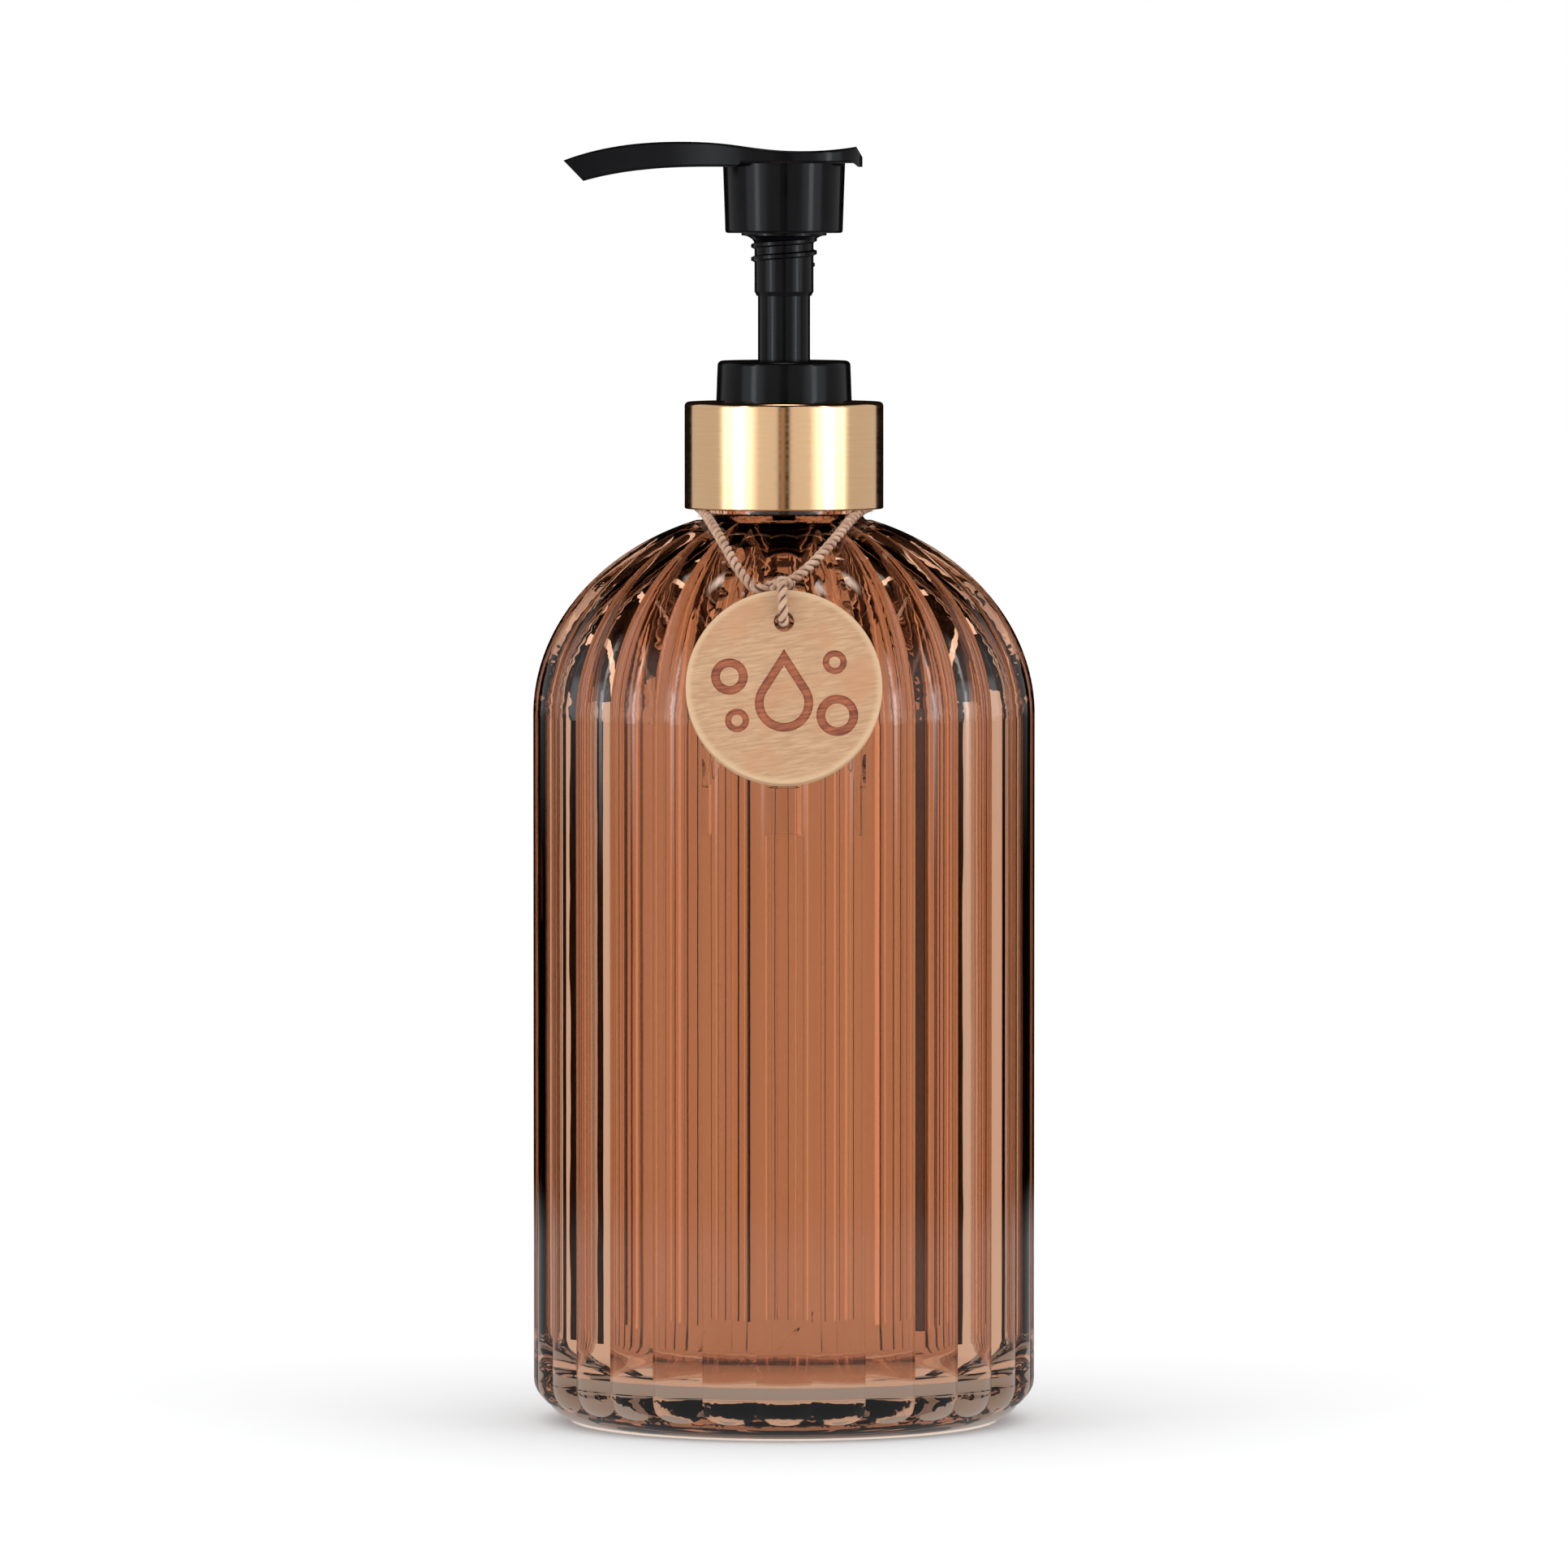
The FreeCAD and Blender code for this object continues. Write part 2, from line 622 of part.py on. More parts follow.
# ---- head ----
def spline(points):
    curve = Part.BSplineCurve()
    curve.interpolate([vec(*p) for p in points])
    return curve.toShape()


def lever():
    """The spout and thumb plate: a side outline cut by the outline seen from above, edges rounded."""
    heel_x = SKIRT_TOP_R + 1.75
    top_z = SKIRT_TOP + 1.95  # thumb dish over the axis
    foot_z = SKIRT_TOP - 0.65  # under the spout, beside the skirt
    crown = [
        (-35.4, 0, top_z - 1.5),
        (-29.3, 0, top_z + 0.3),
        (-22.3, 0, top_z + 1.3),
        (-16.0, 0, top_z + 1.5),
        (-9.5, 0, top_z + 1.15),
        (-3.0, 0, top_z + 0.3),
        (3.9, 0, top_z),
        (heel_x, 0, top_z + 0.7),
    ]
    belly = [
        (-8.0, 0, foot_z + 0.05),
        (-18.8, 0, foot_z - 0.1),
        (-25.7, 0, foot_z - 0.8),
        (-32.2, 0, foot_z - 2.2),
    ]
    heel_z = SKIRT_TOP
    lip = [
        (heel_x + 1.0, 0, top_z - 1.0),
        (heel_x + 1.0, 0, heel_z - LIP_DROP),
        (heel_x + 0.3, 0, heel_z - LIP_DROP),
    ]
    straight = [crown[-1], *lip, (heel_x - 0.4, 0, heel_z), (-7.0, 0, heel_z), belly[0]]
    edges = [spline(crown)]
    for a, b in zip(straight, straight[1:]):
        edges.append(Part.LineSegment(vec(*a), vec(*b)).toShape())
    edges.append(spline(belly))
    edges.append(Part.LineSegment(vec(*belly[-1]), vec(*crown[0])).toShape())
    side = Part.Face(Part.Wire(edges))
    side.translate(vec(0, -15, 0))
    side = side.extrude(vec(0, 30, 0))
    half = [
        (-37.0, 3.9),
        (-30.0, 4.1),
        (-22.0, 4.9),
        (-14.0, 7.0),
        (-7.0, SKIRT_TOP_R - 0.15),
        (0.0, SKIRT_TOP_R + 0.85),
        (7.0, SKIRT_TOP_R - 0.55),
        (heel_x, 5.2),
    ]
    around = [(x, y, 0) for x, y in half] + [(heel_x + 1.3, 0, 0)] + [(x, -y, 0) for x, y in reversed(half)]
    closing = Part.LineSegment(vec(*around[-1]), vec(*around[0])).toShape()
    plan = Part.Face(Part.Wire([spline(around), closing]))
    plan.translate(vec(0, 0, SKIRT_TOP - 10))
    plate = side.common(plan.extrude(vec(0, 0, 20)))
    long_edges = [e for e in plate.Edges if e.Length > 12]
    return plate.makeFillet(LEVER_EDGE_R, long_edges)


def actuator_head():
    skirt = lathe([
        (SKIRT_FOOT_R - SKIRT_WALL, SKIRT_FOOT),
        (SKIRT_FOOT_R - 0.4, SKIRT_FOOT),
        Round((SKIRT_FOOT_R, SKIRT_FOOT), (SKIRT_FOOT_R, SKIRT_FOOT + 0.4)),
        (SKIRT_TOP_R, SKIRT_TOP + 0.6),
        (0, SKIRT_TOP + 0.6),
        (0, SKIRT_TOP - 2),
        (SKIRT_FOOT_R - SKIRT_WALL, SKIRT_TOP - 2),
    ])
    core = lathe([
        (0, SLEEVE_FOOT),
        (SLEEVE_R - 0.35, SLEEVE_FOOT),
        (SLEEVE_R, SLEEVE_FOOT + 0.7),
        (SLEEVE_R, SKIRT_FOOT - 1.9),
        Round((SLEEVE_R, SKIRT_FOOT - 0.4), (CORE_R, SKIRT_FOOT - 0.4)),
        (CORE_R, SKIRT_TOP - 1),
        (0, SKIRT_TOP - 1),
    ])
    thread = ridge(SLEEVE_R - 0.15, LOCK_CREST_R, 1.15, 0.5, LOCK_PITCH, LOCK_TURNS, LOCK_FOOT + 0.6)
    body = skirt.fuse([core, thread, lever()])
    bore = rod(STEM_R + RUNNING, SLEEVE_FOOT - 1, STEM_TOP + 0.2)
    riser = rod(STEM_BORE_R * 0.7, STEM_TOP - 1, SKIRT_TOP + 0.8)
    route = [
        (2.6, 0, SKIRT_TOP + 0.1),
        (-8.0, 0, SKIRT_TOP + 0.95),
        (-18.0, 0, SKIRT_TOP + 1.35),
        (-27.0, 0, SKIRT_TOP + 0.55),
        (-36.5, 0, SKIRT_TOP - 2.15),
    ]
    channel = tube("spout bore", route, SPOUT_BORE_R)
    return body.cut([bore, riser, channel])


# ---- twine and tag ----
def neck_twine():
    return tube("neck_twine", NECK_TWINE, TWINE_R)


def twine_knot():
    half, end = KNOT_LENGTH / 2, 1.2
    knot = lathe([
        (0, -half),
        (KNOT_R - end, -half),
        Round((KNOT_R, -half), (KNOT_R, end - half)),
        (KNOT_R, half - end),
        Round((KNOT_R, half), (KNOT_R - end, half)),
        (0, half),
    ])
    knot.rotate(vec(0, 0, 0), vec(0, 1, 0), 90)
    radius, z, _ = off_dome(KNOT_UP, KNOT_R + KNOT_OFF)
    knot.translate(vec(KNOT_X, -radius, z))
    return knot


def tag_loop():
    return tube("tag_loop", TAG_LOOP, TWINE_R)


def bubble(x, z, outer, stroke):
    """A burnt ring on the tag's face, the tag lying in the XZ plane with its face towards -Y."""
    disc = Part.makeCylinder(outer, 1, vec(x, -0.5, z), vec(0, 1, 0))
    return disc.cut(Part.makeCylinder(outer - stroke, 1, vec(x, -0.5, z), vec(0, 1, 0)))


def drop(x, z, radius, height, shrink=0.0):
    """A drop: a round foot with two tangent sides that meet at the tip."""
    reach = height - radius
    lean = math.asin(radius / reach)
    r = radius - shrink
    tip = vec(x, -0.5, z + reach - shrink / math.sin(lean))
    side = vec(x + r * math.cos(lean), -0.5, z + r * math.sin(lean))
    other = vec(x - r * math.cos(lean), -0.5, z + r * math.sin(lean))
    arc = Part.Arc(side, vec(x, -0.5, z - r), other).toShape()
    wire = Part.Wire([Part.LineSegment(tip, side).toShape(), arc, Part.LineSegment(other, tip).toShape()])
    return Part.Face(wire).extrude(vec(0, 1, 0))


def wooden_tag():
    half, edge = TAG_THICKNESS / 2, 0.35
    disc = lathe([
        (0, -half),
        (TAG_R - edge, -half),
        Round((TAG_R, -half), (TAG_R, edge - half)),
        (TAG_R, half - edge),
        Round((TAG_R, half), (TAG_R - edge, half)),
        (0, half),
    ])
    disc.rotate(vec(0, 0, 0), vec(1, 0, 0), 90)
    hole = Part.makeCylinder(TAG_HOLE_R, TAG_THICKNESS + 2, vec(0, -half - 1, TAG_HOLE_UP), vec(0, 1, 0))
    stroke = 1.4
    marks = [
        drop(0, -2.6, 4.6, 13.2).cut(drop(0, -2.6, 4.6, 13.2, stroke)),
        bubble(-8.6, 1.6, 2.9, stroke),
        bubble(8.4, -4.6, 3.3, stroke),
        bubble(8.0, 3.9, 1.9, 1.0),
        bubble(-7.4, -5.4, 1.9, 1.0),
    ]
    for mark in marks:
        mark.translate(vec(0, -half - 0.5 + MARK_DEPTH, 0))
    tag = disc.cut([hole, *marks])
    radius, z, tilt = off_dome(TAG_UP, TAG_OFF + half)
    tag.rotate(vec(0, 0, 0), vec(1, 0, 0), -tilt)
    tag.translate(vec(0, -radius, z))
    return tag


# ---- one file for each piece ----
PIECES = {
    "bottle": bottle,
    "neck_gasket": neck_gasket,
    "pump_housing": pump_housing,
    "housing_cap": housing_cap,
    "stem_seal": stem_seal,
    "ball_cage": ball_cage,
    "inlet_ball": inlet_ball,
    "dip_tube": dip_tube,
    "return_spring": return_spring,
    "piston": piston,
    "stem_plug": stem_plug,
    "pump_stem": pump_stem,
    "actuator_head": actuator_head,
    "collar_liner": collar_liner,
    "collar_shell": collar_shell,
    "neck_twine": neck_twine,
    "twine_knot": twine_knot,
    "tag_loop": tag_loop,
    "wooden_tag": wooden_tag,
}

os.makedirs("parts", exist_ok=True)
for name, make in PIECES.items():
    shape = make()
    if len(shape.Solids) != 1 or not shape.isValid():
        print(f"{name}: {len(shape.Solids)} solids, valid {shape.isValid()}")
    shape.Solids[0].exportStep(f"parts/{name}.step")
    box = shape.BoundBox
    print(f"{name}: z {box.ZMin:.2f} to {box.ZMax:.2f}, volume {shape.Volume:.0f}")
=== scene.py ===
"""Looks of a soap pump dispenser: amber ribbed glass, gilt collar, black lotion pump and wooden tag."""
import math

import bpy
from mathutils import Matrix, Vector


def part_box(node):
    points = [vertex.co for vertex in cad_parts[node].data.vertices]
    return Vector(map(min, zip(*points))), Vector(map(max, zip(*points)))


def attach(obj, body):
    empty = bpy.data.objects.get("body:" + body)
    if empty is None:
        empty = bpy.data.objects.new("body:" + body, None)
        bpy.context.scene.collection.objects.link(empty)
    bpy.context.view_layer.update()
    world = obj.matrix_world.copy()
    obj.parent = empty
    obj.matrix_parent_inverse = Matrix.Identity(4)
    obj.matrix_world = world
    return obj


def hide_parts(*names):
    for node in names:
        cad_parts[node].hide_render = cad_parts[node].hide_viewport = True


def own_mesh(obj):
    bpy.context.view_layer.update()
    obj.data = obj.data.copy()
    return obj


MM = 0.001
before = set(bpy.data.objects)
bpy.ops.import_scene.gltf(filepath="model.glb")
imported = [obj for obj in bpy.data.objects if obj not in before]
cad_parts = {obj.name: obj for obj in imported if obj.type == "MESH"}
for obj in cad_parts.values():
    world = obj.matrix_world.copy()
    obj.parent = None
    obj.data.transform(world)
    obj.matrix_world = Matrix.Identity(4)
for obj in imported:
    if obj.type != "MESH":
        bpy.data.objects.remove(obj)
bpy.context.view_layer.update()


# ---- camera, floor and lights ----
AXIS_HEIGHT = 102.7 * MM  # the camera looks at the axis at half height
CAMERA_DISTANCE = 2.0
CAMERA_HEIGHT = 206 * MM
FRAME_WIDTH = 252.3 * MM
SENSOR_MM = 36.0
CLIP_START = 0.05
CLIP_END = 50.0
BOX_RING = 0.6  # the bright panels stand this far from the axis
HIGH_BOX_RING = 0.55
PANEL_FOOT = 0.05
PANEL_TOP = 0.75
BRIGHT_FOOT = 0.08
BRIGHT_TOP = 0.34
PEAK_TOP = 0.30
GLOW_RING = 5.9  # just inside the floor's edge
GLOW_HEIGHT = 0.3 * MM
ROOF_RING = 2.0
ROOF_HEIGHT = 0.31
TENT_RING = 3.0
TENT_HEIGHT = 1.5
TENT_FOOT = 0.5 * MM
POOL_CORE = 0.32  # the pool of light round the foot starts to fade here
POOL_EDGE = 0.50
POOL_GLOW = 0.45
FLOOR_HALF = 6.0
STRIP_RING = 0.10
STRIP_HEIGHT = 0.4
STRIP_TURN = 1.5  # the strips stand a little off the mirrored places, in degrees
# The strips beside the bottle: angle from the camera's side in degrees, width, radiance.
STRIPS = (
    (56, 0.0025, 0.0),
    (64, 0.0030, 0.0),
    (72, 0.0032, 1.3),
    (78, 0.0035, 0.0),
    (88, 0.0040, 0.0),
    (95, 0.0050, 1.7),
    (102, 0.0050, 0.0),
    (112, 0.0040, 0.0),
    (121, 0.0070, 1.7),
    (128, 0.0050, 0.0),
    (137, 0.0035, 0.0),
    (144, 0.0050, 1.6),
    (152, 0.0035, 0.0),
    (159, 0.0030, 1.5),
    (165, 0.0012, 0.0),
    (171, 0.0030, 1.45),
    (176, 0.0010, 0.0),
)


def aimed(name, data, place, target):
    """An object at a place, turned so that its -Z axis points at the target."""
    obj = bpy.data.objects.new(name, data)
    obj.location = place
    obj.rotation_euler = (Vector(target) - Vector(place)).to_track_quat("-Z", "Y").to_euler()
    bpy.context.scene.collection.objects.link(obj)
    return obj


def add_camera():
    data = bpy.data.cameras.new("camera")
    data.sensor_width = SENSOR_MM
    data.lens = SENSOR_MM * CAMERA_DISTANCE / FRAME_WIDTH
    data.clip_start = CLIP_START
    data.clip_end = CLIP_END
    camera = aimed("camera", data, (0, -CAMERA_DISTANCE, CAMERA_HEIGHT), (0, 0, AXIS_HEIGHT))
    bpy.context.scene.camera = camera


def around(angle, distance, height):
    """A point by its angle round the axis, in degrees from the camera's side, positive towards +X."""
    turn = math.radians(angle)
    return Vector((distance * math.sin(turn), -distance * math.cos(turn), height))


def soften(light, side, foot, top):
    """Fades the light out towards its sides, foot and top, each over a share of its size."""
    light.use_nodes = True
    tree = light.node_tree
    where = tree.nodes.new("ShaderNodeNewGeometry").outputs["Parametric"]
    parts = tree.nodes.new("ShaderNodeSeparateXYZ")
    tree.links.new(where, parts.inputs[0])
    strength = None
    for axis, start, end in ((0, 0.0, side), (0, 1.0, 1.0 - side), (1, 0.0, foot), (1, 1.0, 1.0 - top)):
        fade = tree.nodes.new("ShaderNodeMapRange")
        fade.interpolation_type = "SMOOTHSTEP"
        fade.inputs["From Min"].default_value = start
        fade.inputs["From Max"].default_value = end
        tree.links.new(parts.outputs[axis], fade.inputs["Value"])
        product = tree.nodes.new("ShaderNodeMath")
        product.operation = "MULTIPLY"
        product.inputs[0].default_value = 1.0
        if strength is not None:
            tree.links.new(strength, product.inputs[0])
        tree.links.new(fade.outputs[0], product.inputs[1])
        strength = product.outputs[0]
    tree.links.new(strength, tree.nodes["Emission"].inputs["Strength"])


def add_softbox(name, place, target, size, radiance, fade=(0.5, 0.5, 0.5), warm=1.0, gloss_only=False):
    """A soft light turned to its target; a warm value under 1 yellows it and one over 1 cools it."""
    data = bpy.data.lights.new(name, "AREA")
    data.shape = "RECTANGLE"
    data.size, data.size_y = size
    data.energy = radiance * math.pi * size[0] * size[1]
    data.color = (1.0, warm, warm * warm)
    soften(data, *fade)
    box = aimed(name, data, place, target)
    box.visible_camera = False
    box.visible_diffuse = not gloss_only
    box.visible_transmission = False


def add_panel(name, start, end, low, high, radiance, fade=(0.3, 0.25, 0.25), warm=1.0, gloss_only=False):
    """A bright board on the softbox ring, between two angles from the camera's side."""
    width = 2 * BOX_RING * math.tan(math.radians(abs(end - start)) / 2)
    height = (low + high) / 2
    place = around((start + end) / 2, BOX_RING, height)
    add_softbox(name, place, (0, 0, height), (width, high - low), radiance, fade, warm, gloss_only)


def add_board(name, corners, seen_by, radiance=0.0, faces=None, pool=False):
    """A black or glowing board that only gloss or only glass sees, and that throws no shadow."""
    mesh = bpy.data.meshes.new(name)
    mesh.from_pydata(corners, [], faces or [tuple(range(len(corners)))])
    mesh.materials.append(pool_cloth() if pool else board_cloth(radiance))
    board = bpy.data.objects.new(name, mesh)
    bpy.context.scene.collection.objects.link(board)
    for kind in ("camera", "diffuse", "glossy", "transmission", "volume_scatter", "shadow"):
        setattr(board, "visible_" + kind, kind == seen_by)


def add_strip(angle, width, radiance):
    """An upright strip close by, which draws a dark or a bright line in each rib."""
    across = around(angle + 90, width / 2, 0)
    foot = around(angle, STRIP_RING, 0.0)
    rise = Vector((0, 0, STRIP_HEIGHT))
    corners = [foot - across, foot + across, foot + across + rise, foot - across + rise]
    add_board("strip", corners, "transmission", radiance)


def ring_points(distance, height):
    """The corners of a level ring round the axis."""
    return [around(angle, distance, height) for angle in range(0, 360, 15)]


def band_faces(count):
    """The faces between two rings of the same number of points."""
    return [(i, (i + 1) % count, (i + 1) % count + count, i + count) for i in range(count)]


def add_lights():
    low, high = PANEL_FOOT, PANEL_TOP
    side_fade = (0.08, 0.11, 0.5)
    front_fade = (0.05, 0.11, 0.5)
    for side in (-1, 1):
        add_panel("panel_side", side * 70, side * 136, low, high, 0.6, side_fade, gloss_only=True)
        add_panel("panel_front", side * 5, side * 76, low, high, 0.8, front_fade, gloss_only=True)
        add_panel("panel_bright", side * 28, side * 82, BRIGHT_FOOT, BRIGHT_TOP, 1.5, warm=1.06)
        add_panel("panel_peak", side * 47, side * 59, PANEL_FOOT, PEAK_TOP, 4.5, warm=1.06)
        place = around(side * 50, HIGH_BOX_RING, 0.40)
        add_softbox("softbox_high", place, (0, 0, 0.12), (0.12, 0.40), 7.0, warm=0.9, gloss_only=True)
        for angle, width, radiance in STRIPS:
            add_strip(side * angle + STRIP_TURN, width, radiance)
    warm_fade = (0.2, 0.2, 0.2)
    add_panel("panel_warm", -5, 2, BRIGHT_FOOT, BRIGHT_TOP, 0.42, warm_fade, warm=0.7, gloss_only=True)
    place = (0, -0.05, 0.58)
    add_softbox("softbox_top", place, (0, 0, 0.13), (0.24, 0.12), 12.0, warm=0.82, gloss_only=True)


def add_tent():
    """The boards that only glass or only gloss sees: a glowing table, a dark roof and a dark tent."""
    add_board("glow_table", ring_points(GLOW_RING, GLOW_HEIGHT), "transmission", 1.0)
    add_board("tent_roof", ring_points(ROOF_RING, ROOF_HEIGHT), "transmission")
    edge = ring_points(TENT_RING, TENT_FOOT)
    top = ring_points(TENT_RING, TENT_HEIGHT)
    add_board("tent_top", top, "glossy")
    add_board("tent_floor", edge, "glossy", pool=True)
    add_board("tent_wall", edge + top, "glossy", faces=band_faces(len(edge)))


def add_world():
    world = bpy.data.worlds.new("studio")
    world.use_nodes = True
    world.node_tree.nodes["Background"].inputs["Color"].default_value = (1, 1, 1, 1)
    world.node_tree.nodes["Background"].inputs["Strength"].default_value = 1.0
    bpy.context.scene.world = world
    bpy.context.scene.view_settings.view_transform = "Standard"


def board_cloth(radiance):
    """Dark matt cloth that gives off light of its own where the radiance is over zero."""
    name = f"board_cloth_{radiance:.2f}"
    cloth = bpy.data.materials.get(name)
    if cloth is None:
        cloth = bpy.data.materials.new(name)
        cloth.use_nodes = True
        shader = cloth.node_tree.nodes["Principled BSDF"]
        shader.inputs["Base Color"].default_value = (0.01, 0.006, 0.004, 1)
        shader.inputs["Roughness"].default_value = 1.0
        shader.inputs["Specular IOR Level"].default_value = 0.0
        shader.inputs["Emission Color"].default_value = (1, 1, 1, 1)
        shader.inputs["Emission Strength"].default_value = radiance
    return cloth


def pool_cloth():
    """Black cloth with a pool of light round the bottle's foot that fades outwards."""
    cloth = board_cloth(0.0).copy()
    tree = cloth.node_tree
    where = tree.nodes.new("ShaderNodeTexCoord").outputs["Object"]
    reach = tree.nodes.new("ShaderNodeVectorMath")
    reach.operation = "LENGTH"
    tree.links.new(where, reach.inputs[0])
    fade = tree.nodes.new("ShaderNodeMapRange")
    fade.interpolation_type = "SMOOTHSTEP"
    for name, value in (("From Min", POOL_EDGE), ("From Max", POOL_CORE), ("To Max", POOL_GLOW)):
        fade.inputs[name].default_value = value
    tree.links.new(reach.outputs["Value"], fade.inputs["Value"])
    tree.links.new(fade.outputs[0], tree.nodes["Principled BSDF"].inputs["Emission Strength"])
    return cloth


def add_floor():
    corners = [(x * FLOOR_HALF, y * FLOOR_HALF, 0) for x, y in ((-1, -1), (1, -1), (1, 1), (-1, 1))]
    mesh = bpy.data.meshes.new("floor")
    mesh.from_pydata(corners, [], [(0, 1, 2, 3)])
    floor = bpy.data.objects.new("floor", mesh)
    bpy.context.scene.collection.objects.link(floor)
    paper = bpy.data.materials.new("studio_paper")
    paper.use_nodes = True
    shader = paper.node_tree.nodes["Principled BSDF"]
    shader.inputs["Base Color"].default_value = (0.93, 0.93, 0.93, 1)
    shader.inputs["Emission Color"].default_value = (1, 1, 1, 1)
    shader.inputs["Emission Strength"].default_value = 0.08
    shader.inputs["Roughness"].default_value = 1.0
    shader.inputs["Specular IOR Level"].default_value = 0.0
    mesh.materials.append(paper)


add_camera()
add_lights()
add_tent()
add_world()
add_floor()


# ---- material tools ----
class Nodes:
    """Short ways to add and join the nodes of one tree."""

    def __init__(self, tree):
        self.tree = tree

    def add(self, kind, values=None, **settings):
        node = self.tree.nodes.new(kind)
        for name, value in settings.items():
            setattr(node, name, value)
        for name, value in (values or {}).items():
            self.feed(node, name, value)
        return node

    def feed(self, node, name, value):
        socket = node.inputs[name]
        if isinstance(value, bpy.types.NodeSocket):
            self.tree.links.new(value, socket)
        else:
            socket.default_value = value

    def math(self, operation, *values):
        return self.add("ShaderNodeMath", dict(enumerate(values)), operation=operation).outputs[0]

    def mix(self, factor, low, high):
        """A colour between two others. The node's colour sockets go by number."""
        node = self.add("ShaderNodeMix", data_type="RGBA")
        for index, value in ((0, factor), (6, low), (7, high)):
            self.feed(node, index, value)
        return node.outputs[2]

    def between(self, value, start, end, low=0.0, high=1.0):
        """A smooth rise from low to high while the value goes from start to end."""
        values = {"Value": value, "From Min": start, "From Max": end, "To Min": low, "To Max": high}
        return self.add("ShaderNodeMapRange", values, interpolation_type="SMOOTHSTEP").outputs[0]

    def mapped(self, where, **values):
        """A place that is moved, turned or scaled."""
        return self.add("ShaderNodeMapping", {"Vector": where, **values}).outputs[0]

    def place(self, scale=(1, 1, 1), move=(0, 0, 0)):
        """Object coordinates, scaled and moved."""
        return self.mapped(self.add("ShaderNodeTexCoord").outputs["Object"], Location=move, Scale=scale)

    def noise(self, where, scale, detail=4.0, roughness=0.55, distortion=0.0):
        values = {"Vector": where, "Scale": scale, "Detail": detail, "Roughness": roughness}
        return self.add("ShaderNodeTexNoise", {**values, "Distortion": distortion}).outputs[0]

    def bump(self, height, strength, distance):
        values = {"Height": height, "Strength": strength, "Distance": distance}
        return self.add("ShaderNodeBump", values).outputs[0]

    def clouded(self, **values):
        """The shared clouded effect, with this finish's own values."""
        group = bpy.data.node_groups.get("clouded") or clouded_group()
        spaced = {name.replace("_", " "): value for name, value in values.items()}
        return self.add("ShaderNodeGroup", spaced, node_tree=group)


def clouded_group():
    """Slow cloudy change of tone and gloss, and a fine grain that raises the surface."""
    tree = bpy.data.node_groups.new("clouded", "ShaderNodeTree")
    face = tree.interface
    face.new_socket("Where", in_out="INPUT", socket_type="NodeSocketVector")
    for title in ("Cloud Scale", "Grain Scale", "Smooth", "Rough"):
        face.new_socket(title, in_out="INPUT", socket_type="NodeSocketFloat")
    for title in ("Deep", "Pale"):
        face.new_socket(title, in_out="INPUT", socket_type="NodeSocketColor")
    face.new_socket("Tone", in_out="OUTPUT", socket_type="NodeSocketColor")
    for title in ("Gloss", "Grain"):
        face.new_socket(title, in_out="OUTPUT", socket_type="NodeSocketFloat")
    nodes = Nodes(tree)
    given = nodes.add("NodeGroupInput").outputs
    result = nodes.add("NodeGroupOutput")
    cloud = nodes.between(nodes.noise(given["Where"], given["Cloud Scale"]), 0.3, 0.7)
    grain = nodes.noise(given["Where"], given["Grain Scale"], detail=3.0)
    shade = nodes.math("ADD", nodes.math("MULTIPLY", cloud, 0.75), nodes.math("MULTIPLY", grain, 0.25))
    nodes.feed(result, "Tone", nodes.mix(shade, given["Deep"], given["Pale"]))
    span = nodes.math("SUBTRACT", given["Rough"], given["Smooth"])
    nodes.feed(result, "Gloss", nodes.math("ADD", given["Smooth"], nodes.math("MULTIPLY", cloud, span)))
    nodes.feed(result, "Grain", grain)
    return tree


def new_material(name):
    material = bpy.data.materials.new(name)
    material.use_nodes = True
    tree = material.node_tree
    shader = tree.nodes["Principled BSDF"]
    return material, Nodes(tree), shader


def rgb(red, green, blue):
    """A colour from its usual 0 to 255 numbers, all of them over 10."""
    return tuple(((level / 255 + 0.055) / 1.055) ** 2.4 for level in (red, green, blue)) + (1.0,)


# ---- materials ----
def finish_material(name, where, values, metallic=0.0, bump=0.0, bump_distance=0.02 * MM):
    """A material whose tone, gloss and grain come from the clouded effect."""
    material, nodes, shader = new_material(name)
    cloud = nodes.clouded(Where=nodes.place(scale=where), **values)
    nodes.feed(shader, "Base Color", cloud.outputs["Tone"])
    nodes.feed(shader, "Roughness", cloud.outputs["Gloss"])
    nodes.feed(shader, "Metallic", metallic)
    if bump:
        nodes.feed(shader, "Normal", nodes.bump(cloud.outputs["Grain"], bump, bump_distance))
    return material, nodes, shader


def amber_glass():
    values = {
        "Cloud_Scale": 35.0,
        "Grain_Scale": 60.0,
        "Deep": (0.67, 0.40, 0.265, 1),
        "Pale": (0.695, 0.425, 0.29, 1),
        "Smooth": 0.0,
        "Rough": 0.02,
    }
    finish = finish_material("amber_glass", (1, 1, 0.3), values, bump=0.15, bump_distance=0.2 * MM)
    material, nodes, shader = finish
    nodes.feed(shader, "Transmission Weight", 1.0)
    nodes.feed(shader, "IOR", 1.5)
    volume = nodes.add("ShaderNodeVolumeAbsorption", {"Color": (0.5, 0.25, 0.083, 1), "Density": 25.0})
    output = material.node_tree.nodes["Material Output"]
    material.node_tree.links.new(volume.outputs[0], output.inputs["Volume"])
    return material


def gilt_aluminium():
    values = {
        "Cloud_Scale": 90.0,
        "Grain_Scale": 240.0,
        "Deep": (0.88, 0.56, 0.30, 1),
        "Pale": (0.94, 0.62, 0.36, 1),
        "Smooth": 0.11,
        "Rough": 0.16,
    }
    where = (1, 1, 22)
    return finish_material("gilt_aluminium", where, values, metallic=1.0, bump=0.08)[0]


